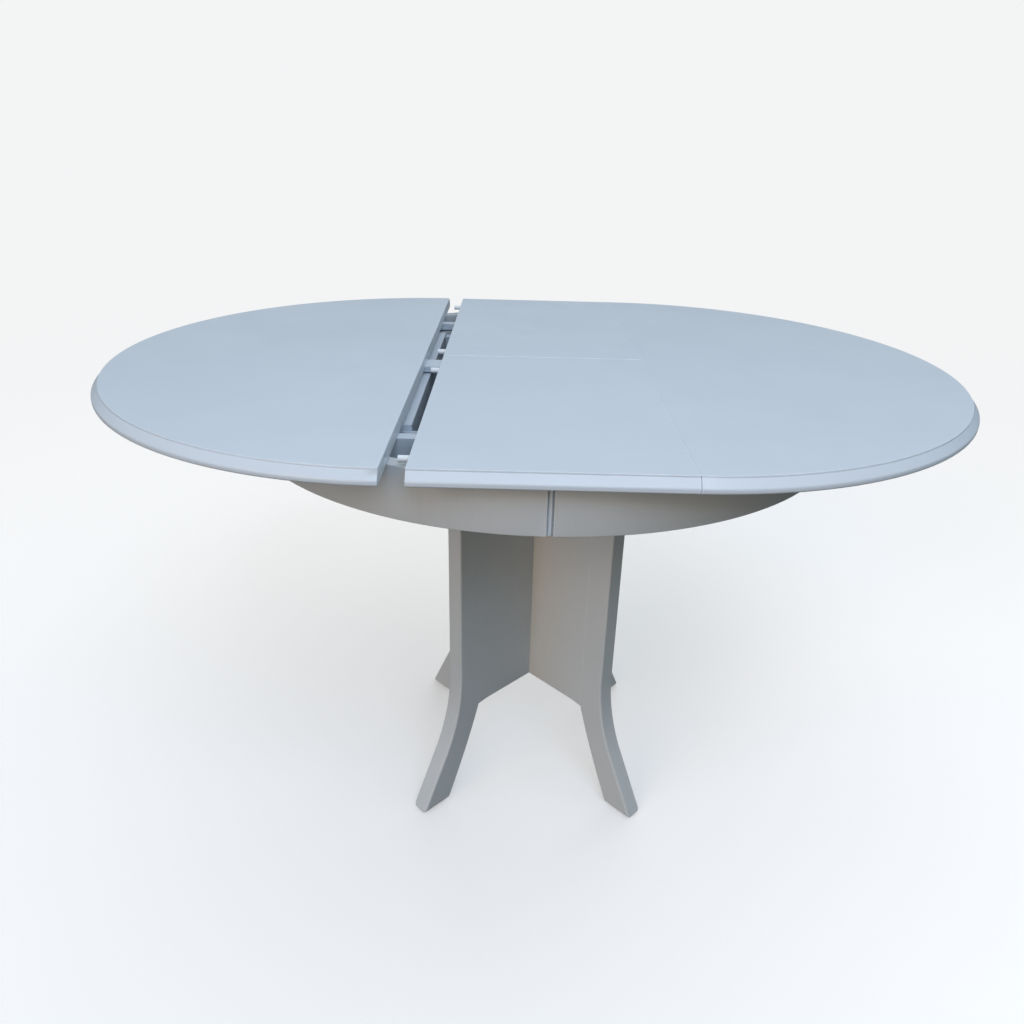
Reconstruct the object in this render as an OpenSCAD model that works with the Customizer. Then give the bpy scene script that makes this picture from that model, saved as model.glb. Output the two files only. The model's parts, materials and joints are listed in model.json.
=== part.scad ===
// Extending round pedestal table: two half-round tops on ball slides, a butterfly leaf
// that folds along the table's middle, a fixed round apron with a storage well, and a
// pedestal of crossed boards on four splayed legs.
// X runs along the table's length, Y across it and Z up. The table stands with its leaf
// flat, the right half against the leaf and the left half drawn a little way out.

/* [Top] */
// Height of the top's face above the floor
table_h = 750; // [710:5:800]
// Diameter of the closed round top
top_d = 927; // [900:1:960]
// Thickness of the tops and the leaf
top_t = 18; // [17:0.5:22]
// Width of the folding leaf
leaf_w = 302; // [280:2:310]
// Distance between the left half and the leaf
left_gap = 27.6; // [24:0.2:34]
// Width of the moulded rim around the top
rim_w = 9; // [7:0.1:9.5]
// Height of the small step where the rim starts
rim_step = 2.4; // [1:0.1:3]
// Angle of the rim's sloping face from upright
rim_lean = 45; // [42:1:55]
// Radius of the rim's nose, below the slope
nose_r = 4.2; // [3:0.1:4.2]
// Distance from the pedestal's axis to the leaf's middle, along the table
leaf_shift = 2.4; // [-4:0.2:4]

/* [Apron] */
// Outside radius of the round apron
apron_r = 436; // [430:1:440]
// Thickness of the apron
apron_t = 20; // [16:1:22]
// Height of the apron
apron_h = 66; // [60:1:75]
// Width of the recessed strip in each apron joint
strip_w = 4.8; // [4:0.2:8]
// Width of the groove beside each strip
groove_w = 2; // [1:0.2:4]
// Depth of that groove
groove_set = 6; // [4:0.5:10]
// Distance from the pedestal's axis to the front joint, along the table
joint_shift = 2; // [-4:0.2:4]
// Depth of the strip behind the apron's face
strip_set = 3; // [1:0.5:3.5]

/* [Storage well] */
// Half the well's width along the table, to the cross boards
well_x = 167; // [162:1:172]
// Half the well's length across the table, to the inner rails
well_y = 254; // [250:1:256]
// Thickness of the well's boards and rails
board_t = 18; // [16:1:18]
// Thickness of the well's floor
floor_t = 12; // [9:1:14]

/* [Slides] */
// Height of a slide's fixed channel
channel_h = 38; // [34:1:40]
// Half the length of a fixed channel
channel_half = 260; // [220:5:262]
// Distance that a moving bar reaches inwards from its half's straight edge
bar_reach = 245; // [200:5:245]
// Distance that a moving bar and its bracket reach outwards from that edge
bar_tail = 80; // [60:5:80]
// Diameter of the slide's balls
ball_d = 4.2; // [3:0.1:4.6]

/* [Alignment] */
// Diameter of the alignment dowels
dowel_d = 8; // [6:0.5:9]
// Distance that a dowel stands out of its edge
dowel_out = 14; // [8:1:16]
// Distance from the middle to the inner dowels
dowel_y_in = 55; // [45:1:80]
// Distance from the middle to the outer dowels
dowel_y_out = 406; // [380:1:410]
// Width of the centre tongue
tongue_w = 40; // [30:1:50]
// Thickness of the centre tongue
tongue_t = 9; // [7:0.5:9]

/* [Pedestal] */
// Thickness of the crossed boards and the legs
leg_t = 30; // [24:1:36]
// Distance from the middle to the upright outer edge of a leg
leg_r = 178; // [170:0.5:190]
// Distance from the middle to the joint between board and leg
panel_r = 137; // [120:1:140]
// Height of the boards' lower edge above the floor
panel_z = 173; // [165:1:200]
// Height at which a leg's outer edge starts to curve out
bend_z = 241; // [230:1:260]
// Radius of that curve
bend_r = 308; // [290:1:330]
// Angle from upright that the leg reaches below the curve
splay = 27.2; // [22:0.1:28]
// Side of the square cap board
cap_w = 340; // [320:5:360]
// Thickness of the cap board
cap_t = 22; // [18:1:25]
// Thickness of the glides under the feet
glide_t = 2; // [1:0.5:4]

/* [Hidden] */
$fn = 96;

front = -1;
rear = 1;
left = -1;
right = 1;
big = 2000;                              // larger than the table, for half-space cuts

// Heights
top_z = table_h - top_t;                 // underside of the tops
mid_z = table_h - top_t / 2;             // middle of the tops' thickness
ring_z = top_z - 0.5;                    // upper edge of the apron
apron_z = ring_z - apron_h;              // lower edge of the apron
rail_top = top_z - 0.4;                  // upper edge of the guide rails
floor_z = apron_z + 0.5;                 // underside of the well's floor
well_z = floor_z + floor_t;              // upper face of the well's floor
board_top = top_z - 6;                   // upper edge of the cross boards
inner_top = top_z - 14;                  // upper edge of the inner rails
cap_z = floor_z - cap_t;                 // underside of the pedestal's cap

// Places along the table, from the pedestal's axis
top_r = top_d / 2;
seam = 0.15;                             // closed joint between the right half and the leaf
fold_gap = 0.3;                          // joint between the two flaps
left_edge = leaf_shift - leaf_w / 2 - left_gap;      // straight edge of the left half
right_edge = leaf_shift + leaf_w / 2 + seam;         // straight edge of the right half
base_x = (left_gap - seam) / 2 - leaf_shift;         // pedestal's axis, from the top's middle

// Places across the table
ring_in = apron_r - apron_t;             // inside radius of the apron
inner_out = well_y + board_t;            // outer face of the inner rails
slide_band = 28;                         // room between the inner and the guide rails
guide_in = inner_out + slide_band;       // inner face of the guide rails
sheet_t = 1.5;                           // thickness of a channel's steel
bar_t = 8;                               // thickness of a moving bar
bar_clear = 0.5;                         // play behind a moving bar
lip_clear = 0.4;                         // play between a channel's lips and a bracket
bracket_t = 2.5;                         // thickness of a bracket's steel
bracket_flange = 12;                     // width of a bracket's top flange
channel_z = channel_h / 2 + 684;         // middle height of the slides
bar_h = channel_h - 2 * sheet_t - 10;    // leaves a 5 mm ball track above and below
track_z = channel_h / 2 - sheet_t - 2.5; // a ball track's height from the slide's middle
cage_half = 70;
ball_pitch = 17.5;
ball_count = 8;

// Alignment pieces
dowel_in = 16;                           // depth of a dowel in its own edge
dowel_play = 0.3;
slot_mouth = 9;                          // half the width of an open slot at its mouth
tongue_in = 60;                          // length of the tongue under the left half
tongue_tip = 2;                          // distance from the tongue's tip to the leaf
tongue_low = 4;                          // how far the tongue hangs below the top
notch_depth = 26;
notch_play = 1;
barrel_r = 7;
barrel_len = 22;
barrel_x = 95;

// Pedestal
sole_z = glide_t;
panel_step = 116;                        // where a board's lower edge turns down to the leg
knee_drop = 2;                           // how far it turns down
inner_r = 1030;                          // radius of a leg's inner curve
inner_start = 18.3;                      // angle of that curve at its upper end
heel_r = 11;                             // rounding of the foot's inner corner
sole_r = 7;                              // rounding of the foot's edges along its sides
glide_r = 8;
glide_pin_r = 1.5;
glide_pin = 14;
leg_dowel_r = 5;
leg_dowel_half = 20;
leg_dowel_z = [240, 400, 560];

function arc(cx, cz, r, from, to, n) =
    [for (i = [0 : n]) let (a = from + (to - from) * i / n) [cx + r * cos(a), cz + r * sin(a)]];

// ---- Shared helpers ----

// Moves a shape drawn around the pedestal's axis into the table's frame
module at_base() translate([base_x, 0, 0]) children();

// Moves a shape drawn around the leaf's middle into the table's frame
module at_leaf() translate([base_x + leaf_shift, 0, 0]) children();

// Draws a shape of the rear side on the side asked for
module on_side(side) mirror([0, side < 0 ? 1 : 0, 0]) children();

// Countersunk screw pointing up along Z, its head's face at z = 0
module screw(shank_r, len) {
    head_r = shank_r * 2;
    cylinder(r1 = head_r, r2 = shank_r, h = shank_r);
    cylinder(r = shank_r, h = len);
}

// ---- Tops and leaf ----

// Section of a top from one distance to its moulded rim at another, underside at 0
module rim_section(from, to) {
    flat = to - rim_w;
    step_z = top_t - rim_step;
    lip = 1.6;
    // the slope ends where the nose takes over, and meets it without a corner
    nose_start = nose_r * [cos(rim_lean), sin(rim_lean)];
    slope = rim_w - nose_r + nose_start[0];
    nose_z = max(nose_r, step_z - slope / tan(rim_lean) - nose_start[1]);
    nose_c = [to - nose_r, nose_z];
    polygon([[from, 0], [to - lip, 0], [to, lip], [to, nose_z], nose_c,
        nose_c + nose_start, [flat, step_z], [flat, top_t], [from, top_t]]);
    translate(nose_c) circle(r = nose_r);
}

// Half-round top reaching out along +X from a straight edge at x = 0
module half_round()
    translate([0, 0, top_z]) rotate([0, 0, -90]) rotate_extrude(angle = 180) rim_section(0, top_r);

// Places its children at each dowel, pointing along +X from x = 0
module at_dowels(ys) for (y = ys) translate([0, y, mid_z]) rotate([0, 90, 0]) children();

all_dowels = [-dowel_y_out, -dowel_y_in, dowel_y_in, dowel_y_out];

// Open-bottomed slot in the leaf's right edge, which drops over a dowel of the right half
module dowel_slot() {
    wide = dowel_d / 2 + 2 * dowel_play;
    depth = dowel_out + 1;
    translate([-depth, 0, 0]) rotate([90, 0, 90]) linear_extrude(depth + 1) {
        translate([0, mid_z]) circle(r = wide);
        polygon([[-wide, mid_z], [wide, mid_z], [slot_mouth, top_z - 1], [-slot_mouth, top_z - 1]]);
    }
}

// Notch that takes the tongue, cut up into an edge at x = 0 that faces -X
module tongue_notch(half) {
    height = tongue_t - tongue_low + notch_play;
    translate([-1, -half, top_z - 1]) cube([notch_depth + 1, 2 * half, height + 1]);
}

module top_half_left() at_base() color("lightsteelblue") translate([left_edge, 0, 0])
    difference() {
        mirror([1, 0, 0]) half_round();
        mirror([1, 0, 0]) at_dowels(all_dowels)
            translate([0, 0, -1]) cylinder(r = dowel_d / 2 + dowel_play, h = dowel_in + 2);
        translate([-tongue_in, -tongue_w / 2, top_z - 1])
            cube([tongue_in + 1, tongue_w, tongue_t - tongue_low + 1]);
        tongue_screw_set();
        for (side = [front, rear]) on_side(side) bracket_screw_set(left);
    }

module top_half_right() at_base() color("lightsteelblue") translate([right_edge, 0, 0])
    difference() {
        half_round();
        at_dowels(all_dowels) translate([0, 0, -1]) cylinder(r = dowel_d / 2, h = dowel_in + 1);
        tongue_notch(tongue_w / 2 + notch_play);
        for (side = [front, rear]) on_side(side) bracket_screw_set(right);
    }

module leaf_flap(side) at_leaf() color("lightsteelblue") on_side(side) difference() {
    translate([-leaf_w / 2, 0, top_z]) rotate([90, 0, 90])
        linear_extrude(leaf_w) rim_section(fold_gap / 2, top_r);
    for (y = [dowel_y_in, dowel_y_out]) translate([leaf_w / 2, y, 0]) dowel_slot();
    leaf_dowel_set(0);
    translate([-leaf_w / 2, 0, 0]) tongue_notch(tongue_w / 2 + notch_play);
    barrel_set();
}

module leaf_flap_front() leaf_flap(front);
module leaf_flap_rear() leaf_flap(rear);

// The two dowels of one flap, standing out of the leaf's left edge
module leaf_dowel_set(out)
    translate([-leaf_w / 2, 0, 0]) at_dowels([dowel_y_in, dowel_y_out])
        translate([0, 0, -out]) cylinder(r = dowel_d / 2, h = dowel_in + out);

module leaf_dowels_front() at_leaf() color("lightgray") on_side(front) leaf_dowel_set(dowel_out);
module leaf_dowels_rear() at_leaf() color("lightgray") on_side(rear) leaf_dowel_set(dowel_out);

module right_half_dowels() at_base() color("lightgray") translate([right_edge, 0, 0])
    at_dowels(all_dowels) translate([0, 0, -dowel_out])
        cylinder(r = dowel_d / 2, h = dowel_in + dowel_out);

// Concealed hinge barrels let into a flap's folding edge
module barrel_set() for (x = [-barrel_x, barrel_x])
    translate([x, fold_gap / 2, mid_z]) rotate([-90, 0, 0]) cylinder(r = barrel_r, h = barrel_len);

// A barrel has a slot in its face for the folding links
module hinge_barrels(side) at_leaf() color("goldenrod") on_side(side) difference() {
    barrel_set();
    for (x = [-barrel_x, barrel_x])
        translate([x - 2, -1, mid_z - 5]) cube([4, 14, 10]);
}

module hinge_barrels_front() hinge_barrels(front);
module hinge_barrels_rear() hinge_barrels(rear);

// Flat tongue under the left half, which bridges the gap and enters the leaf's notch
module centre_tongue() at_base() color("gainsboro") translate([left_edge, 0, 0]) difference() {
    translate([-tongue_in, -tongue_w / 2, top_z - tongue_low])
        cube([tongue_in + left_gap - tongue_tip, tongue_w, tongue_t]);
    tongue_screw_set();
}

module tongue_screw_set() for (x = [-45, -18])
    translate([x, 0, top_z - tongue_low]) screw(2, tongue_t + 8);

module tongue_screws() at_base() color("silver") translate([left_edge, 0, 0]) tongue_screw_set();

// ---- Ball slides ----
// A left slide hangs on the guide rail's inner face. A right slide stands on the inner
// rail's outer face. Each is drawn with its back at y = 0 and its mouth towards +Y.

module at_slide(half, side) at_base() on_side(side)
    translate([0, half == left ? guide_in : inner_out, channel_z])
        mirror([0, half == left ? 1 : 0, 0]) children();

channel_screw_x = [-220, 0, 220];

module channel_screw_set() for (x = channel_screw_x)
    translate([x, sheet_t, 0]) rotate([90, 0, 0]) screw(sheet_t, board_t - 2);

module slide_channel(half, side) color("silver") at_slide(half, side) difference() {
    lip_y = sheet_t + bar_clear + bar_t - lip_clear;
    translate([-channel_half, 0, -channel_h / 2]) cube([2 * channel_half, lip_y, channel_h]);
    translate([-channel_half - 1, sheet_t, sheet_t - channel_h / 2])
        cube([2 * channel_half + 2, lip_y, channel_h - 2 * sheet_t]);
    channel_screw_set();
}

module slide_channel_left_front() slide_channel(left, front);
module slide_channel_left_rear() slide_channel(left, rear);
module slide_channel_right_front() slide_channel(right, front);
module slide_channel_right_rear() slide_channel(right, rear);

module channel_screws() color("dimgray")
    for (half = [left, right], side = [front, rear]) at_slide(half, side) channel_screw_set();

// Places a shape drawn outwards along +X from a half's straight edge
module from_edge(half) translate([half == left ? left_edge : right_edge, 0, 0])
    mirror([half == left ? 1 : 0, 0, 0]) children();

rivet_x = [18, 62];

module rivet_set() for (x = rivet_x)
    translate([x, sheet_t + bar_clear + 2, 0]) rotate([-90, 0, 0]) {
        cylinder(r = 2, h = bar_t - 2 + bracket_t);
        translate([0, 0, bar_t - 2 + bracket_t]) cylinder(r = 3.5, h = 1);
    }

module slide_bar(half, side) color("lightslategray") at_slide(half, side) from_edge(half)
    difference() {
        translate([-bar_reach, sheet_t + bar_clear, -bar_h / 2])
            cube([bar_reach + bar_tail, bar_t, bar_h]);
        rivet_set();
    }

module slide_bar_left_front() slide_bar(left, front);
module slide_bar_left_rear() slide_bar(left, rear);
module slide_bar_right_front() slide_bar(right, front);
module slide_bar_right_rear() slide_bar(right, rear);

// Middle of a cage along the table, halfway between the channel's middle and the bar's
function cage_x(half) = half == left ? (left_edge + (bar_reach - bar_tail) / 2) / 2
    : (right_edge - (bar_reach - bar_tail) / 2) / 2;

module ball_cage(half, side) color("darkkhaki") at_slide(half, side)
    for (z = [-track_z, track_z]) translate([cage_x(half), sheet_t + bar_clear + bar_t / 2, z]) {
        translate([-cage_half, -2.7, -0.5]) cube([2 * cage_half, 5.4, 1]);
        for (i = [0 : ball_count - 1])
            translate([(i - (ball_count - 1) / 2) * ball_pitch, 0, 0]) sphere(d = ball_d);
    }

module ball_cage_left_front() ball_cage(left, front);
module ball_cage_left_rear() ball_cage(left, rear);
module ball_cage_right_front() ball_cage(right, front);
module ball_cage_right_rear() ball_cage(right, rear);

// Steel angle that hangs a moving bar under its half
module slide_bracket(half, side) color("slategray") difference() {
    at_slide(half, side) from_edge(half) difference() {
        plate_y = sheet_t + bar_clear + bar_t;
        rise = top_z - channel_z;
        union() {
            translate([5, plate_y, -bar_h / 2]) cube([bar_tail - 5, bracket_t, bar_h / 2 + rise]);
            translate([5, plate_y + bracket_t - bracket_flange, rise - bracket_t])
                cube([bar_tail - 5, bracket_flange, bracket_t]);
        }
        rivet_set();
    }
    at_base() on_side(side) translate([half == left ? left_edge : right_edge, 0, 0])
        bracket_screw_set(half);
}

module slide_bracket_left_front() slide_bracket(left, front);
module slide_bracket_left_rear() slide_bracket(left, rear);
module slide_bracket_right_front() slide_bracket(right, front);
module slide_bracket_right_rear() slide_bracket(right, rear);

// Screws that hold one rear bracket, from its half's straight edge
module bracket_screw_set(half) {
    y = half == left ? guide_in - 5.5 : inner_out + 5.5;
    for (x = [28, 52]) translate([half * x, y, top_z - bracket_t]) {
        translate([0, 0, -2]) cylinder(r = 3.6, h = 2);
        cylinder(r = 2, h = bracket_t + 11);
    }
}

module bracket_screws(half) at_base() color("dimgray")
    translate([half == left ? left_edge : right_edge, 0, 0])
        for (side = [front, rear]) on_side(side) bracket_screw_set(half);

module bracket_screws_left() bracket_screws(left);
module bracket_screws_right() bracket_screws(right);

module bracket_rivets(half) color("dimgray")
    for (side = [front, rear]) at_slide(half, side) from_edge(half) rivet_set();

module bracket_rivets_left() bracket_rivets(left);
module bracket_rivets_right() bracket_rivets(right);

// ---- Apron and its frame ----

module apron_ring(r_out, r_in) translate([0, 0, apron_z]) difference() {
    cylinder(r = r_out, h = apron_h);
    translate([0, 0, -1]) cylinder(r = r_in, h = apron_h + 2);
}

// Left half of the apron: it meets the front strip, and stops short of the rear strip
// by the groove
module apron_half() difference() {
    apron_ring(apron_r, ring_in);
    translate([joint_shift - strip_w / 2, -big / 2, 0]) cube([big, big / 2, big]);
    translate([-joint_shift - strip_w / 2 - groove_w, 0, 0]) cube([big, big / 2, big]);
}

module apron_left() at_base() color("lightsteelblue") apron_half();
module apron_right() at_base() color("lightsteelblue") rotate([0, 0, 180]) apron_half();

// Piece of the front joint, from one side to another
module joint_fill(r_out, from, to) intersection() {
    apron_ring(r_out, ring_in);
    translate([from, -big, 0]) cube([to - from, big, big]);
}

// Recessed strip that closes the front joint, with a tongue that backs the groove
module joint_strip() {
    joint_fill(apron_r - strip_set, joint_shift - strip_w / 2, joint_shift + strip_w / 2);
    joint_fill(apron_r - groove_set, joint_shift, joint_shift + strip_w / 2 + groove_w);
}

module joint_strip_front() at_base() color("slategray") joint_strip();
module joint_strip_rear() at_base() color("slategray") rotate([0, 0, 180]) joint_strip();

// Glued block behind a joint
module joint_block() intersection() {
    cylinder(r = ring_in, h = big);
    translate([-35, -big, apron_z + 4]) cube([70, big - ring_in + 32, apron_h - 8]);
}

module joint_block_front() at_base() color("burlywood") joint_block();
module joint_block_rear() at_base() color("burlywood") rotate([0, 0, 180]) joint_block();

// Board along X inside the apron, from its inner face, with its ends cut to the ring
module rail(inner_face, low, high) intersection() {
    cylinder(r = ring_in, h = big);
    translate([-big / 2, inner_face, low]) cube([big, board_t, high - low]);
}

module rail_screw_cuts(half, side)
    translate([0, half == left ? guide_in : inner_out, channel_z])
        mirror([0, half == left ? 1 : 0, 0]) channel_screw_set();

module guide_rail(side) at_base() color("lightsteelblue") on_side(side) difference() {
    rail(guide_in, apron_z + board_t, rail_top);
    rail_screw_cuts(left, side);
}

module guide_rail_front() guide_rail(front);
module guide_rail_rear() guide_rail(rear);

module inner_rail(side) at_base() color("lightsteelblue") on_side(side) difference() {
    rail(well_y, floor_z, inner_top);
    rail_screw_cuts(right, side);
    frame_screw_set();
}

module inner_rail_front() inner_rail(front);
module inner_rail_rear() inner_rail(rear);

// Screws through one inner rail into the ends of both cross boards
module frame_screw_set() for (x = [-1, 1], z = [690, 711])
    translate([x * (well_x + board_t / 2), inner_out, z]) rotate([90, 0, 0]) screw(2, 45);

module frame_screws() at_base() color("dimgray") for (side = [front, rear])
    on_side(side) frame_screw_set();

module cross_board(half) at_base() color("lightsteelblue") difference() {
    translate([half == left ? -well_x - board_t : well_x, -well_y, well_z])
        cube([board_t, 2 * well_y, board_top - well_z]);
    for (side = [front, rear]) on_side(side) frame_screw_set();
}

module cross_board_left() cross_board(left);
module cross_board_right() cross_board(right);

module well_floor() at_base() color("lightsteelblue") difference() {
    translate([-well_x - board_t, -well_y, floor_z])
        cube([2 * (well_x + board_t), 2 * well_y, floor_t]);
    cap_screw_set();
}

// ---- Pedestal ----

// Places its children along each of the four diagonals, as if they lay along +X
module along(angle) rotate([0, 0, angle]) children();

leg_angles = [45, 135, 225, 315];

module cap_screw_set() for (p = [[150, 60], [60, 150]], sx = [-1, 1], sy = [-1, 1])
    translate([sx * p[0], sy * p[1], cap_z]) screw(2.25, cap_t + floor_t - 2);

module cap_screws() at_base() color("dimgray") cap_screw_set();

// Long screws down through the cap into the boards and legs
module pedestal_screw_set() for (a = leg_angles, r = [70, (panel_r + leg_r) / 2])
    along(a) translate([r, 0, floor_z]) rotate([180, 0, 0]) screw(3, 75);

module pedestal_screws() at_base() color("dimgray") pedestal_screw_set();

module pedestal_cap() at_base() color("lightsteelblue") difference() {
    corner = 20;
    span = cap_w / 2 - corner;
    translate([0, 0, cap_z]) linear_extrude(cap_t) {
        square([cap_w, 2 * span], center = true);
        square([2 * span, cap_w], center = true);
        for (x = [-span, span], y = [-span, span]) translate([x, y]) circle(r = corner);
    }
    cap_screw_set();
    pedestal_screw_set();
}

// Dowels across the joint of one board and its leg
module leg_dowel_set() for (z = leg_dowel_z)
    translate([panel_r - leg_dowel_half, 0, z]) rotate([0, 90, 0])
        cylinder(r = leg_dowel_r, h = 2 * leg_dowel_half);

module leg_dowels() at_base() color("burlywood") for (a = leg_angles) along(a) leg_dowel_set();

// Board from one distance to the leg's joint, stepping down to meet the leg's knee
module panel_board(from) rotate([90, 0, 0]) translate([0, 0, -leg_t / 2]) linear_extrude(leg_t)
    polygon([[from, panel_z], [panel_step, panel_z], [panel_r, panel_z - knee_drop],
        [panel_r, cap_z], [from, cap_z]]);

module panel_cuts(angles) for (a = angles) along(a) {
    leg_dowel_set();
    translate([70, 0, floor_z]) rotate([180, 0, 0]) screw(3, 75);
}

module panel_long() at_base() color("lightsteelblue") difference() {
    for (a = [45, 225]) along(a) panel_board(0);
    panel_cuts([45, 225]);
}

module panel_short(angle) at_base() color("lightsteelblue") difference() {
    along(angle) panel_board(leg_t / 2);
    panel_cuts([angle]);
}

module panel_short_front() panel_short(315);
module panel_short_rear() panel_short(135);

// Centres of a leg's curves, as distance from the axis and height
bend_c = [leg_r + bend_r, bend_z];
bend_end = [bend_c[0] - bend_r * cos(splay), bend_z - bend_r * sin(splay)];
knee = [panel_r, panel_z - knee_drop];
inner_c = knee + inner_r * [cos(inner_start), sin(inner_start)];
toe_x = bend_end[0] + (bend_end[1] - sole_z) * tan(splay);
heel_z = sole_z + heel_r;
heel_x = inner_c[0] - sqrt(pow(inner_r - heel_r, 2) - pow(inner_c[1] - heel_z, 2));
heel_a = atan2(heel_z - inner_c[1], heel_x - inner_c[0]);

module leg_outline() polygon(concat(
    [[panel_r, cap_z], [leg_r, cap_z]],
    arc(bend_c[0], bend_c[1], bend_r, 180, 180 + splay, 24),
    [[toe_x, sole_z]],
    arc(heel_x, heel_z, heel_r, -90, heel_a, 8),
    arc(inner_c[0], inner_c[1], inner_r, heel_a, inner_start - 180, 16)));

// Outline of a leg seen from its end
module leg_end() polygon(concat(
    arc(-leg_t / 2 + sole_r, sole_z + sole_r, sole_r, 180, 270, 10),
    arc(leg_t / 2 - sole_r, sole_z + sole_r, sole_r, 270, 360, 10),
    [[leg_t / 2, table_h], [-leg_t / 2, table_h]]));

glide_x = (toe_x + heel_x) / 2;

module glide() {
    cylinder(r = glide_r, h = glide_t);
    cylinder(r = glide_pin_r, h = glide_t + glide_pin);
}

module leg(angle) at_base() color("lightsteelblue") along(angle) difference() {
    intersection() {
        rotate([90, 0, 0]) translate([0, 0, -leg_t]) linear_extrude(2 * leg_t) leg_outline();
        rotate([90, 0, 90]) linear_extrude(toe_x + leg_t) leg_end();
    }
    leg_dowel_set();
    translate([glide_x, 0, 0]) glide();
    translate([(panel_r + leg_r) / 2, 0, floor_z]) rotate([180, 0, 0]) screw(3, 75);
}

module leg_rear_right() leg(45);
module leg_rear_left() leg(135);
module leg_front_left() leg(225);
module leg_front_right() leg(315);

module foot_glides() at_base() color("dimgray")
    for (a = leg_angles) along(a) translate([glide_x, 0, 0]) glide();

top_half_left();
top_half_right();
leaf_flap_front();
leaf_flap_rear();
leaf_dowels_front();
leaf_dowels_rear();
right_half_dowels();
hinge_barrels_front();
hinge_barrels_rear();
centre_tongue();
tongue_screws();
slide_bar_left_front();
slide_bar_left_rear();
slide_bar_right_front();
slide_bar_right_rear();
slide_channel_left_front();
slide_channel_left_rear();
slide_channel_right_front();
slide_channel_right_rear();
ball_cage_left_front();
ball_cage_left_rear();
ball_cage_right_front();
ball_cage_right_rear();
slide_bracket_left_front();
slide_bracket_left_rear();
slide_bracket_right_front();
slide_bracket_right_rear();
bracket_screws_left();
bracket_screws_right();
bracket_rivets_left();
bracket_rivets_right();
channel_screws();
apron_left();
apron_right();
joint_strip_front();
joint_strip_rear();
joint_block_front();
joint_block_rear();
guide_rail_front();
guide_rail_rear();
inner_rail_front();
inner_rail_rear();
cross_board_left();
cross_board_right();
frame_screws();
well_floor();
pedestal_cap();
cap_screws();
pedestal_screws();
panel_long();
panel_short_front();
panel_short_rear();
leg_front_left();
leg_front_right();
leg_rear_left();
leg_rear_right();
leg_dowels();
foot_glides();
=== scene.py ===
import json
from math import cos, pi, radians, sin, sqrt

import bpy
from mathutils import Matrix, Vector


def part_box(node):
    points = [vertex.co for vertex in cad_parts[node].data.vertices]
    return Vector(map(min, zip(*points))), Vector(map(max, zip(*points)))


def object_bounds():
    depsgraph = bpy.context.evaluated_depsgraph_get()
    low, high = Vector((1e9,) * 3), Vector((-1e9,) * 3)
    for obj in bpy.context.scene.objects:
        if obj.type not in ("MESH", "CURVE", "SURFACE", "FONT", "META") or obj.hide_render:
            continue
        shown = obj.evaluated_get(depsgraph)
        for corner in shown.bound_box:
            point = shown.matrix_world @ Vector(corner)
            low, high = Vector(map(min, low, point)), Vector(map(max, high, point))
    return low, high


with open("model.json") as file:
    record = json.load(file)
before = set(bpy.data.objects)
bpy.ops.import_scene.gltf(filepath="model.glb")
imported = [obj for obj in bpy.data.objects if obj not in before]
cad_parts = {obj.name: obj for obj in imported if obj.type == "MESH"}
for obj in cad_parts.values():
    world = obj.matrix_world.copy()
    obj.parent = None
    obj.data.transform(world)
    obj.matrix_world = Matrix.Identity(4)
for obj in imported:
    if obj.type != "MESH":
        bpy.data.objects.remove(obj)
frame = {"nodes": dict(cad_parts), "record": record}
cad_low, cad_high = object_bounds()

NODES = frame["nodes"]
SIDES = ("front", "rear")
HALVES = ("left", "right")

# ---- Edges ----
# Every sharp edge of a CAD node is rounded by modifiers, which leave its mesh as it is.
# Edges that lie in a tight joint are rounded less, or stay sharp, so the joint closes.

EDGE_TOP = 0.0010
EDGE_APRON = 0.0014
EDGE_PEDESTAL = 0.0024
EDGE_LEG = 0.0032
EDGE_FRAME = 0.0008
WELD = 0.00001
FLAT_ANGLE = radians(0.4)  # facets closer than this lie in one plane
EDGE_ANGLE = radians(32)   # outer edges sharper than this are rounded
CREASE_ANGLE = radians(25) # edges sharper than this, if not rounded, break the shading
ON_PLANE = 0.00005
UNROUNDED = 0.00005        # an edge with less weight than this stays sharp
HEEL_ROUND = 0.0097        # height of the heels' own rounding
HEEL_TAPER = 0.060         # height above it over which the edges' rounding sets in
HEEL_REACH = 0.240         # the heels end inside this distance from the pedestal's axis
FOLD_SHARE = 0.4           # share of the rounding that the fold's edges keep

axis_low, axis_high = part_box("foot_glides")
AXIS = (axis_low + axis_high) / 2
AXIS.z = 0
RIGHT_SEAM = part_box("top_half_right")[0].x
LEAF_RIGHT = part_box("leaf_flap_front")[1].x
LEAF_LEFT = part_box("leaf_flap_front")[0].x
LEAF_MIDDLE = (LEAF_LEFT + LEAF_RIGHT) / 2
FLAP_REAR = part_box("leaf_flap_rear")[0].y
FLAP_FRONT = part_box("leaf_flap_front")[1].y
FOLD = (FLAP_REAR + FLAP_FRONT) / 2
ALONG, ACROSS, UP = Vector((1, 0, 0)), Vector((0, 1, 0)), Vector((0, 0, 1))
DIAGONAL = (ALONG + ACROSS).normalized()


class Nodes:
    """A node tree, with short calls for adding to it."""

    def add(self, kind, **values):
        node = self.tree.nodes.new(kind)
        for key, value in values.items():
            setattr(node, key, value)
        return node

    def link(self, source, target):
        self.tree.links.new(source, target)

    def math(self, kind, first, second=0.0):
        """A sum on one or two values, each a number or another node's output."""
        node = self.add("ShaderNodeMath", operation=kind)
        for socket, value in zip(node.inputs, (first, second)):
            if isinstance(value, (int, float)):
                socket.default_value = value
            else:
                self.link(value, socket)
        return node.outputs["Value"]


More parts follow.
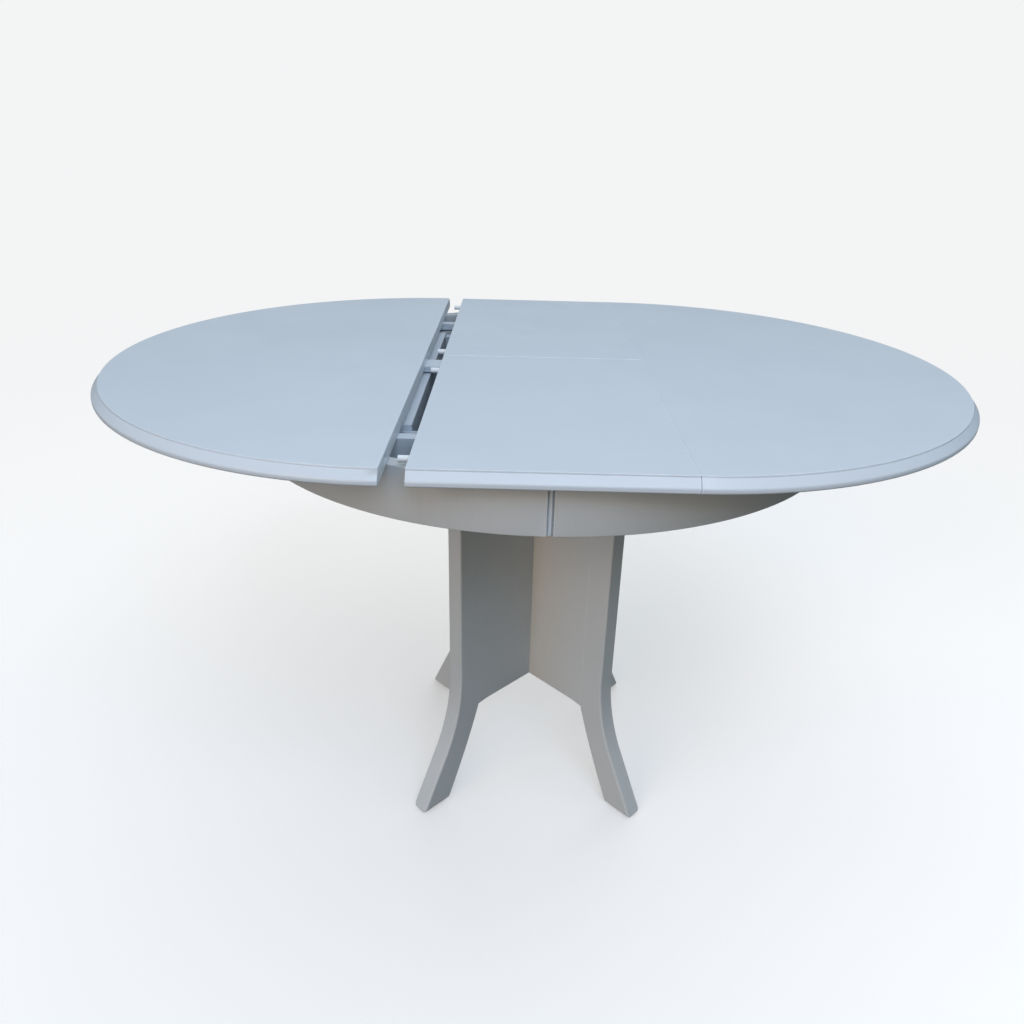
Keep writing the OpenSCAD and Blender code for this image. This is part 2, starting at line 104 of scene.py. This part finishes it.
class EdgeWeights(Nodes):
    """Geometry nodes that store how strongly each edge is rounded."""

    def __init__(self, name):
        self.tree = bpy.data.node_groups.new(name, "GeometryNodeTree")
        for way in ("INPUT", "OUTPUT"):
            self.tree.interface.new_socket(
                "Geometry", in_out=way, socket_type="NodeSocketGeometry")
        self.ends = self.add("GeometryNodeInputMeshEdgeVertices")
        self.angle = self.add("GeometryNodeInputMeshEdgeAngle")
        self.weight = self.math("GREATER_THAN", self.angle.outputs["Signed Angle"], EDGE_ANGLE)

    def vector(self, kind, first, second=None):
        node = self.add("ShaderNodeVectorMath", operation=kind)
        self.link(first, node.inputs[0])
        if second is not None:
            node.inputs[1].default_value = second
        return node.outputs["Value" if kind == "DOT_PRODUCT" else "Vector"]

    def on_plane(self, end, origin, normal, distance):
        """1 where an end of the edge lies on a plane, or on its mirror images about the origin."""
        offset = self.vector("ABSOLUTE", self.vector("SUBTRACT", self.ends.outputs[end], origin))
        gap = self.math("SUBTRACT", self.vector("DOT_PRODUCT", offset, normal), distance)
        return self.math("LESS_THAN", self.math("ABSOLUTE", gap), ON_PLANE)

    def spare(self, planes, share):
        """Rounds the edges that lie in every one of some planes by a share of the full width."""
        inside = 1.0
        for plane in planes:
            for end in ("Position 1", "Position 2"):
                inside = self.math("MULTIPLY", inside, self.on_plane(end, *plane))
        kept = self.math("SUBTRACT", 1.0, self.math("MULTIPLY", inside, 1 - share))
        self.weight = self.math("MULTIPLY", self.weight, kept)

    def taper_heels(self):
        """Rounds the heels less towards the floor, where the CAD node is round already."""
        heights, reaches = [], []
        for end in ("Position 1", "Position 2"):
            offset = self.vector("ABSOLUTE", self.vector("SUBTRACT", self.ends.outputs[end], AXIS))
            heights.append(self.vector("DOT_PRODUCT", offset, UP))
            reaches.append(self.vector("DOT_PRODUCT", offset, DIAGONAL))
        toe = self.math("GREATER_THAN", self.math("MAXIMUM", *reaches), HEEL_REACH)
        above = self.math("SUBTRACT", self.math("MINIMUM", *heights), HEEL_ROUND)
        rise = self.math("MINIMUM", self.math("DIVIDE", above, HEEL_TAPER), 1.0)
        share = self.math("MAXIMUM", toe, self.math("MAXIMUM", rise, 0.0))
        self.weight = self.math("MULTIPLY", self.weight, share)

    def finish(self):
        store = self.add("GeometryNodeStoreNamedAttribute", data_type="FLOAT", domain="EDGE")
        store.inputs["Name"].default_value = "bevel_weight_edge"
        self.link(self.weight, store.inputs["Value"])
        self.link(self.add("NodeGroupInput").outputs[0], store.inputs["Geometry"])
        sharp = self.math("GREATER_THAN", self.angle.outputs["Unsigned Angle"], CREASE_ANGLE)
        unrounded = self.math("LESS_THAN", self.weight, UNROUNDED)
        crease = self.add("GeometryNodeSetShadeSmooth", domain="EDGE")
        crease.inputs["Shade Smooth"].default_value = False
        self.link(self.math("MULTIPLY", sharp, unrounded), crease.inputs["Selection"])
        self.link(store.outputs["Geometry"], crease.inputs["Geometry"])
        self.link(crease.outputs["Geometry"], self.add("NodeGroupOutput").inputs[0])
        return self.tree


def soften(node, width, spared=(), segments=3):
    """Rounds a CAD node's sharp edges. Each spared rule has its planes, as an origin, a normal
    and a distance, and the share of the width that edges in all of them keep."""
    piece = NODES[node]
    weld = piece.modifiers.new("weld", "WELD")
    weld.merge_threshold = WELD
    plane = piece.modifiers.new("plane", "DECIMATE")
    plane.decimate_type = "DISSOLVE"
    plane.angle_limit = FLAT_ANGLE
    weights = EdgeWeights(f"{node}_edges")
    for rule in spared:
        weights.spare(*rule)
    if node.startswith("leg_"):
        weights.taper_heels()
    piece.modifiers.new("weights", "NODES").node_group = weights.finish()
    bevel = piece.modifiers.new("edge", "BEVEL")
    bevel.width = width
    bevel.segments = segments
    bevel.limit_method = "WEIGHT"
    bevel.use_clamp_overlap = False
    bevel.harden_normals = True
    return piece


def flatten_sides(piece):
    """Keeps a piece's broad faces flat in the shading, beside the narrow ones around them."""
    normals = piece.modifiers.new("normals", "WEIGHTED_NORMAL")
    normals.mode = "FACE_AREA"
    normals.weight = 100
    normals.keep_sharp = True


def soften_all():
    face = (Vector(), UP, cad_high.z)
    leaf_end = (LEAF_RIGHT * ALONG, ALONG, 0.0)
    half_end = (RIGHT_SEAM * ALONG, ALONG, 0.0)
    # the closed seam hardly shows on the top's face, and shows around the rim
    leaf_seam = ([leaf_end, face], 0.0)
    half_seam = ([half_end, face], 0.0)
    fold = ([(FOLD * ACROSS, ACROSS, (FLAP_REAR - FLAP_FRONT) / 2)], FOLD_SHARE)
    leg_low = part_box("leg_rear_right")[0] - AXIS
    board_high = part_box("panel_short_rear")[1] - AXIS
    # along a diagonal, a leg's inner corner and a board's outer corner lie half a thickness
    # to either side of their joint
    leg_joint = ([(AXIS, DIAGONAL, (board_high.y + leg_low.x) / sqrt(2))], 0.0)
    crossing = ([(AXIS, DIAGONAL, (board_high.y - leg_low.x) / sqrt(2))], 0.0)

    soften("top_half_left", EDGE_TOP)
    soften("top_half_right", EDGE_TOP, [half_seam])
    for half in HALVES:
        soften(f"apron_{half}", EDGE_APRON)
        soften(f"cross_board_{half}", EDGE_FRAME)
    for side in SIDES:
        soften(f"leaf_flap_{side}", EDGE_TOP, [leaf_seam, fold])
        soften(f"joint_strip_{side}", EDGE_FRAME)
        soften(f"guide_rail_{side}", EDGE_FRAME)
        soften(f"inner_rail_{side}", EDGE_FRAME)
        soften(f"panel_short_{side}", EDGE_PEDESTAL, [leg_joint, crossing])
        for half in HALVES:
            flatten_sides(soften(f"leg_{side}_{half}", EDGE_LEG, [leg_joint]))
    soften("panel_long", EDGE_PEDESTAL, [leg_joint])
    soften("pedestal_cap", EDGE_PEDESTAL)
    soften("centre_tongue", EDGE_FRAME)


# ---- Materials ----

PAINT_LIGHT = (0.526, 0.590, 0.657)
PAINT_DARK = (0.502, 0.568, 0.637)
# the fold line's paler coat: worn paint and painted highlight
PAINT_WORN_AND_HIGHLIT = (0.64, 0.70, 0.76)
# the base's paint is the top's paint made darker, greyer and warmer: painted shade and warm light
# on the pedestal under the top
SHADED_BASE_LIGHT = (0.512, 0.540, 0.556)
SHADED_BASE_DARK = (0.484, 0.513, 0.530)
PAINT_IOR = 1.47
PEEL_DEPTH = 0.00004
BRUSH_DEPTH = 0.00005
# edges paled in patches: part rubbed paint, part painted highlight
WEAR_AND_HIGHLIGHT_RADIUS = 0.0028
WEAR_AND_HIGHLIGHT_TURN = (0.86, 0.99)       # cosines of the turn at which an edge is fully and not paled, as wear and painted highlight
WEAR_AND_HIGHLIGHT_TINT = 1.22               # how much paler the coat is along rubbed edges, a tint that is also a painted highlight
WEAR_AND_HIGHLIGHT_SHARE = 0.6               # how much of that tint a rubbed edge takes on, wear and painted highlight together
FOLD_WEAR_AND_HIGHLIGHT = (0.0008, 0.0022)   # the fold's pale line, wear and painted highlight, is full and gone at these distances from the fold


class Graph(Nodes):
    """A material's nodes, with short calls for the ones used here."""

    def __init__(self, name):
        self.material = bpy.data.materials.new(name)
        self.material.use_nodes = True
        self.tree = self.material.node_tree
        self.shader = self.tree.nodes["Principled BSDF"]
        self.place = self.add("ShaderNodeTexCoord").outputs["Object"]

    def stretch(self, scale, turn=(0, 0, 0)):
        """The place in the row frame, in metres, scaled by axis."""
        node = self.add("ShaderNodeMapping")
        node.inputs["Scale"].default_value = scale
        node.inputs["Rotation"].default_value = turn
        self.link(self.place, node.inputs["Vector"])
        return node.outputs["Vector"]

    def noise(self, scale, detail=4, rough=0.5, place=None):
        node = self.add("ShaderNodeTexNoise")
        node.inputs["Scale"].default_value = scale
        node.inputs["Detail"].default_value = detail
        node.inputs["Roughness"].default_value = rough
        self.link(place or self.place, node.inputs["Vector"])
        return node.outputs["Fac"]

    def span(self, source, low, high, to_low=0.0, to_high=1.0):
        """Maps low..high of a value to to_low..to_high, clamped."""
        node = self.add("ShaderNodeMapRange")
        self.link(source, node.inputs["Value"])
        limits = {"From Min": low, "From Max": high, "To Min": to_low, "To Max": to_high}
        for key, value in limits.items():
            node.inputs[key].default_value = value
        return node.outputs["Result"]

    def mix(self, factor, first, second):
        """Blends two colours, each a tuple or another node's output."""
        node = self.add("ShaderNodeMix", data_type="RGBA")
        self.link(factor, node.inputs["Factor"])
        for socket, value in ((node.inputs[6], first), (node.inputs[7], second)):
            if isinstance(value, tuple):
                socket.default_value = (*value, 1)
            else:
                self.link(value, socket)
        return node.outputs[2]

    def edges(self, radius):
        """1 along sharp edges and 0 on flat faces, from how far rounding turns the surface."""
        rounded = self.add("ShaderNodeBevel", samples=4)
        rounded.inputs["Radius"].default_value = radius
        turned = self.add("ShaderNodeVectorMath", operation="DOT_PRODUCT")
        self.link(rounded.outputs["Normal"], turned.inputs[0])
        self.link(self.add("ShaderNodeNewGeometry").outputs["Normal"], turned.inputs[1])
        return self.span(turned.outputs["Value"], *WEAR_AND_HIGHLIGHT_TURN, 1.0, 0.0)

    def bump(self, height, depth, under=None):
        """Relief of the given depth in metres, on top of another relief."""
        node = self.add("ShaderNodeBump")
        node.inputs["Distance"].default_value = depth
        self.link(height, node.inputs["Height"])
        if under:
            self.link(under, node.inputs["Normal"])
        return node.outputs["Normal"]

    def finish(self, colour, roughness, normal, **values):
        self.link(colour, self.shader.inputs["Base Color"])
        self.link(roughness, self.shader.inputs["Roughness"])
        self.link(normal, self.shader.inputs["Normal"])
        for key, value in values.items():
            self.shader.inputs[key.replace("_", " ")].default_value = value
        return self.material


def satin_paint(name, light, dark, brush, gloss, marks_worn_and_highlit=None):
    """Brushed and rolled satin paint: faint clouds of tone, brush lines along one axis,
    a fine orange peel, and a sheen that varies where the coat is thicker. Edges are paled
    in patches, part rubbed paint and part painted highlight, and so are the places that the
    marks function gives, from 0 to 1, which are also wear and painted highlight."""
    g = Graph(name)
    clouds = g.noise(5.0, 5, 0.55)
    lines = g.noise(1.0, 3, 0.6, g.stretch(brush))
    tone = g.math("ADD", g.math("MULTIPLY", clouds, 0.7), g.math("MULTIPLY", lines, 0.3))
    colour = g.mix(g.span(tone, 0.35, 0.65), dark, light)
    # pale patches along the edges: part rubbed paint, part a painted highlight on the rounded
    # edges
    patches = g.span(g.noise(34.0, 4, 0.6), 0.46, 0.62, 0.25, 1.0)
    rubbed_and_highlit = g.math("MULTIPLY", g.edges(WEAR_AND_HIGHLIGHT_RADIUS), patches)
    pale = tuple(WEAR_AND_HIGHLIGHT_TINT * value for value in light)
    colour = g.mix(g.math("MULTIPLY", rubbed_and_highlit, WEAR_AND_HIGHLIGHT_SHARE), colour, pale)
    # the marks paint a paler coat: part wear, part painted highlight
    if marks_worn_and_highlit:
        colour = g.mix(marks_worn_and_highlit(g), colour, PAINT_WORN_AND_HIGHLIT)
    sheen = g.math("ADD", g.span(g.noise(22.0, 4, 0.6), 0.3, 0.7, -0.04, 0.05), gloss)
    peel = g.bump(g.noise(420.0, 2, 0.5), PEEL_DEPTH)
    return g.finish(colour, sheen, g.bump(lines, BRUSH_DEPTH, peel), IOR=PAINT_IOR)


def worn_and_highlit_fold(g):
    """A thin broken pale line where the leaf's flaps meet: part wear, part painted highlight on
    the fold's edges.
    """
    split = g.add("ShaderNodeSeparateXYZ")
    g.link(g.place, split.inputs["Vector"])
    off = g.math("ABSOLUTE", g.math("SUBTRACT", split.outputs["Y"], FOLD))
    line = g.span(off, *FOLD_WEAR_AND_HIGHLIGHT, 1.0, 0.0)
    along = g.math("ABSOLUTE", g.math("SUBTRACT", split.outputs["X"], LEAF_MIDDLE))
    inside = g.math("LESS_THAN", along, (LEAF_RIGHT - LEAF_LEFT) / 2)
    broken = g.span(g.noise(28.0, 3, 0.6), 0.42, 0.56)
    return g.math("MULTIPLY", g.math("MULTIPLY", line, inside), broken)


def bare_wood(name, light, dark):
    """Sanded softwood with its grain along X."""
    g = Graph(name)
    grain = g.noise(1.0, 6, 0.62, g.stretch((9, 150, 150)))
    rings = g.noise(1.0, 2, 0.4, g.stretch((2.5, 26, 26)))
    tone = g.math("ADD", g.math("MULTIPLY", grain, 0.55), g.math("MULTIPLY", rings, 0.45))
    sheen = g.span(grain, 0.3, 0.7, 0.5, 0.68)
    return g.finish(g.mix(g.span(tone, 0.32, 0.68), dark, light), sheen, g.bump(grain, 0.0002))


def metal(name, light, dark, brush, rough):
    """Plated or brushed metal, with fine lines along one axis."""
    g = Graph(name)
    lines = g.noise(1.0, 3, 0.6, g.stretch(brush))
    stain = g.noise(40.0, 4, 0.6)
    sheen = g.span(lines, 0.25, 0.75, rough - 0.08, rough + 0.1)
    return g.finish(g.mix(g.span(stain, 0.35, 0.7), dark, light), sheen,
        g.bump(lines, 0.00003), Metallic=1.0)


def moulded(name, light, dark):
    """Moulded nylon with a fine matt grit."""
    g = Graph(name)
    grit = g.noise(900.0, 2, 0.5)
    colour = g.mix(g.span(g.noise(60.0), 0.4, 0.6), dark, light)
    return g.finish(colour, g.span(grit, 0.3, 0.7, 0.45, 0.6), g.bump(grit, 0.00004))


MATERIALS = {
    # the top's paint carries the fold's pale line, part wear and part painted highlight
    "painted_top": satin_paint(
        "paint_top", PAINT_LIGHT, PAINT_DARK, (14, 260, 260), 0.36, worn_and_highlit_fold),
    # the base is painted with a shaded, warmer copy of the top's paint
    "painted_base": satin_paint(
        "paint_base_shaded", SHADED_BASE_LIGHT, SHADED_BASE_DARK, (200, 200, 12), 0.42),
    "painted_frame": satin_paint(
        "paint_frame", PAINT_LIGHT, PAINT_DARK, (16, 220, 220), 0.45),
    "bare_wood": bare_wood("bare_wood", (0.56, 0.41, 0.25), (0.42, 0.28, 0.16)),
    "dowel_wood": satin_paint(
        "dowel_paint", (0.66, 0.72, 0.77), (0.60, 0.66, 0.72), (30, 300, 300), 0.45),
    "brass": metal("brass", (0.78, 0.60, 0.28), (0.62, 0.46, 0.20), (60, 600, 600), 0.3),
    "slide_steel": metal(
        "zinc_steel", (0.62, 0.64, 0.66), (0.50, 0.52, 0.55), (30, 500, 900), 0.34),
    "ball_steel": metal(
        "ball_steel", (0.72, 0.73, 0.74), (0.55, 0.56, 0.58), (300, 300, 300), 0.24),
    "screw_steel": metal(
        "screw_steel", (0.60, 0.61, 0.62), (0.45, 0.46, 0.47), (400, 400, 400), 0.36),
    "glide_plastic": moulded("nylon", (0.11, 0.11, 0.115), (0.08, 0.08, 0.085)),
}


def dress():
    for part in frame["record"]["subparts"]:
        piece = NODES[part["node"]]
        piece.data.materials[0] = MATERIALS[part["material_slot"]]


# ---- Stage ----

CAMERA_AT = Vector((-0.0281, -1.2036, 1.062))
CAMERA_DOWN = 0.446        # angle below the horizon, in radians
CAMERA_YAW = 0.001
CAMERA_ROLL = 0.025
CAMERA_LENS = 28.04        # in mm, as is the sensor's width
CAMERA_SENSOR = 36

STAGE_RADIUS = 14.0
STAGE_NEAR = 1.2           # the floor shows its own shading inside this radius
STAGE_FAR = 4.5            # and melts into the backdrop by this one
PALE = (0.90, 0.905, 0.91)
FLOOR_LIGHT = (0.80, 0.79, 0.78)
FLOOR_DARK = (0.785, 0.775, 0.765)
FLOOR_GLOW = (0.22, 0.22, 0.22)


def stage():
    """A round pale floor that melts into a pale paper wall. The two are seen by the camera
    and take shadows, and the object gets its light from the lamps and the studio alone."""
    middle = (cad_low + cad_high) / 2
    bpy.ops.mesh.primitive_circle_add(vertices=96, radius=STAGE_RADIUS, fill_type="NGON",
        location=(middle.x, middle.y, cad_low.z))
    floor = bpy.context.object
    floor.name = "floor"
    g = Graph("floor_paper")
    reach = g.add("ShaderNodeVectorMath", operation="LENGTH")
    g.link(g.place, reach.inputs[0])
    far = g.span(reach.outputs["Value"], STAGE_NEAR, STAGE_FAR)
    paper = g.mix(g.noise(3.0, 3, 0.5), FLOOR_DARK, FLOOR_LIGHT)
    g.link(g.mix(far, FLOOR_GLOW, PALE), g.shader.inputs["Emission Color"])
    colour = g.mix(far, paper, (0.0, 0.0, 0.0))
    g.finish(colour, g.span(g.noise(40.0), 0, 1, 0.8, 0.9), g.bump(g.noise(500.0), 0.00005),
        Emission_Strength=1.0, Specular_IOR_Level=0.0)
    floor.data.materials.append(g.material)

    wall_middle = (middle.x, middle.y, cad_low.z + STAGE_RADIUS / 2)
    bpy.ops.mesh.primitive_cylinder_add(vertices=96, radius=STAGE_RADIUS, depth=STAGE_RADIUS,
        end_fill_type="NOTHING", location=wall_middle)
    wall = bpy.context.object
    wall.name = "backdrop"
    paper = bpy.data.materials.new("wall_paper")
    paper.use_nodes = True
    shader = paper.node_tree.nodes["Principled BSDF"]
    shader.inputs["Base Color"].default_value = (0, 0, 0, 1)
    shader.inputs["Specular IOR Level"].default_value = 0
    shader.inputs["Emission Color"].default_value = (*PALE, 1)
    shader.inputs["Emission Strength"].default_value = 1.0
    wall.data.materials.append(paper)
    wall.visible_shadow = False
    for piece in (floor, wall):
        piece.visible_diffuse = False
        piece.visible_glossy = False


SKY_TOP = (0.82, 0.85, 0.87)
SKY_RIM = (0.05, 0.13, 0.18)
SKY_UNDER = (0.08, 0.088, 0.085)
SKY_HEIGHTS = (0.45, 0.55, 1.0)  # of under, rim and top, from 0 straight down to 1 straight up


def studio():
    """The light of the room: brightest overhead, and dim from the sides and the floor."""
    world = bpy.data.worlds.new("studio")
    world.use_nodes = True
    tree = world.node_tree
    place = tree.nodes.new("ShaderNodeTexCoord")
    split = tree.nodes.new("ShaderNodeSeparateXYZ")
    ramp = tree.nodes.new("ShaderNodeValToRGB")
    height = tree.nodes.new("ShaderNodeMapRange")
    height.inputs["From Min"].default_value = -1.0
    tree.links.new(place.outputs["Generated"], split.inputs["Vector"])
    tree.links.new(split.outputs["Z"], height.inputs["Value"])
    tree.links.new(height.outputs["Result"], ramp.inputs["Fac"])
    tree.links.new(ramp.outputs["Color"], tree.nodes["Background"].inputs["Color"])
    stops = ramp.color_ramp.elements
    under, rim, top = SKY_HEIGHTS
    stops[0].position = under
    stops[0].color = (*SKY_UNDER, 1)
    stops[1].position = top
    stops[1].color = (*SKY_TOP, 1)
    stops.new(rim).color = (*SKY_RIM, 1)
    bpy.context.scene.world = world


def aim(lamp, azimuth, elevation):
    """Turns a lamp to shine from a direction. Azimuth 0 is the front and 90 the right."""
    a, e = radians(azimuth), radians(elevation)
    source = Vector((sin(a) * cos(e), -cos(a) * cos(e), sin(e)))
    lamp.rotation_mode = "QUATERNION"
    lamp.rotation_quaternion = (-source).to_track_quat("-Z", "Y")
    return source


def sun(name, azimuth, elevation, spread, strength, colour, gloss=True):
    """A broad distant lamp, which shows in glossy paint or doesn't."""
    light = bpy.data.lights.new(name, "SUN")
    light.energy = strength * pi
    light.angle = radians(spread)
    light.color = colour
    lamp = bpy.data.objects.new(name, light)
    lamp.visible_glossy = gloss
    bpy.context.scene.collection.objects.link(lamp)
    aim(lamp, azimuth, elevation)


def softbox(name, azimuth, elevation, distance, size, watts, colour):
    """A square lamp aimed at the middle of the top."""
    light = bpy.data.lights.new(name, "AREA")
    light.size = size
    light.energy = watts
    light.color = colour
    lamp = bpy.data.objects.new(name, light)
    bpy.context.scene.collection.objects.link(lamp)
    top = (cad_low + cad_high) / 2
    top.z = cad_high.z
    lamp.location = top + aim(lamp, azimuth, elevation) * distance


def lights():
    studio()
    softbox("front", 12, 44, 3.2, 1.8, 42, (0.655, 0.785, 1.0))
    sun("key", -34, 16, 40, 0.44, (1.0, 0.735, 0.51))
    sun("fill", -62, 12, 40, 0.14, (0.32, 0.63, 1.0))
    sun("right", 95, 30, 60, 0.10, (1.0, 1.0, 0.9), gloss=False)
    sun("back", 165, 20, 60, 0.30, (0.97, 0.96, 1.0), gloss=False)


def camera():
    data = bpy.data.cameras.new("camera")
    data.lens = CAMERA_LENS
    data.sensor_width = CAMERA_SENSOR
    view = bpy.data.objects.new("camera", data)
    bpy.context.scene.collection.objects.link(view)
    turn = Matrix.Rotation(-CAMERA_YAW, 4, "Z") @ Matrix.Rotation(pi / 2 - CAMERA_DOWN, 4, "X")
    view.matrix_world = Matrix.Translation(CAMERA_AT) @ turn @ Matrix.Rotation(CAMERA_ROLL, 4, "Z")
    bpy.context.scene.camera = view
    bpy.context.scene.view_settings.view_transform = "Standard"


camera()
soften_all()
dress()
stage()
lights()
